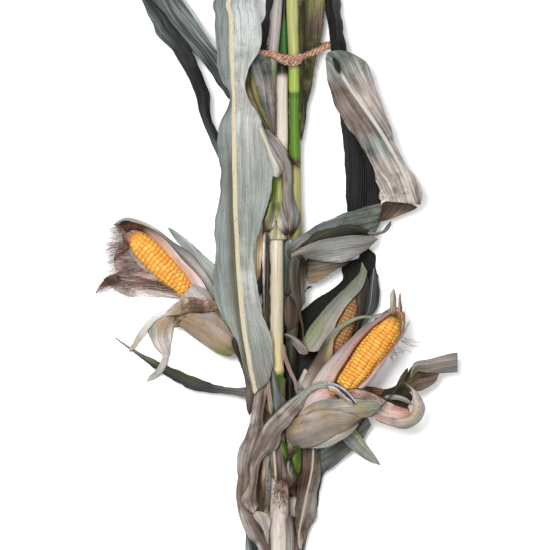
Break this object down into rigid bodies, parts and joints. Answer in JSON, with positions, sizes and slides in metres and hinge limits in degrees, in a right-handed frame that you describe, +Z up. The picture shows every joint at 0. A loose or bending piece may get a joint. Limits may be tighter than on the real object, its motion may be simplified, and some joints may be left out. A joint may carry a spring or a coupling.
{
  "type": "tied bundle of corn stalks",
  "caption": "Dry corn stalks tied in a bundle with rope, with long leaves and three open ears, lying on its back.",
  "frame": {"origin": "centre of the bundle's footprint, on the surface it lies on", "axes": "+Y along the stalks to the bundle's top end, +X to its right as it is looked down on, +Z up"},
  "size_m": [0.5105, 0.9561, 0.0775],
  "materials": {
    "stalk": "matt, dry",
    "green": "satin, fresh",
    "sheath": "matt, dry",
    "leaf": "matt, dry",
    "dark": "matt, dry",
    "mauve": "matt, dry",
    "husk": "matt, papery",
    "kernels": "satin, waxy",
    "rope": "coarse fibre"
  },
  "bodies": {
    "root": {"cob_left": "kernels", "cob_rear": "kernels", "cob_right": "kernels", "husk_left_blade": "leaf", "husk_left_bulb": "husk", "husk_left_cup": "husk", "husk_left_lower": "husk", "husk_left_net": "husk", "husk_left_strip": "husk", "husk_left_top": "husk", "husk_rear_back": "husk", "husk_rear_front": "husk", "husk_rear_right": "husk", "husk_right_back": "husk", "husk_right_bulb": "husk", "husk_right_inner": "husk", "husk_right_loop": "husk", "husk_right_outer": "husk", "husk_right_tip": "husk", "leaf_base_fold": "mauve", "leaf_base_left": "mauve", "leaf_black_rear": "dark", "leaf_brown": "mauve", "leaf_collar": "leaf", "leaf_cross": "leaf", "leaf_curled": "mauve", "leaf_cut_right": "leaf", "leaf_dark_cane": "dark", "leaf_dark_right": "dark", "leaf_dark_top": "dark", "leaf_front_long": "leaf", "leaf_green_mid": "green", "leaf_grey_shell": "leaf", "leaf_grey_wrap": "mauve", "leaf_hanging": "mauve", "leaf_inner_grey": "mauve", "leaf_inner_olive": "sheath", "leaf_left_dark": "dark", "leaf_left_lower": "dark", "leaf_left_upper": "leaf", "leaf_lilac_strip": "mauve", "leaf_olive_right": "green", "leaf_right_dark": "dark", "leaf_right_mauve": "mauve", "leaf_right_tip": "leaf", "leaf_shell_inner": "mauve", "leaf_tan_strip": "husk", "leaf_twist": "leaf", "leaf_wrap": "mauve", "shank_left": "sheath", "shank_rear": "sheath", "shank_right": "sheath", "sheath_green": "sheath", "sheath_lower": "mauve", "sheath_skirt": "mauve", "stalk_front": "stalk", "stalk_green": "green", "stalk_rear": "stalk", "tie_rope": "rope"}
  },
  "joints": []
}
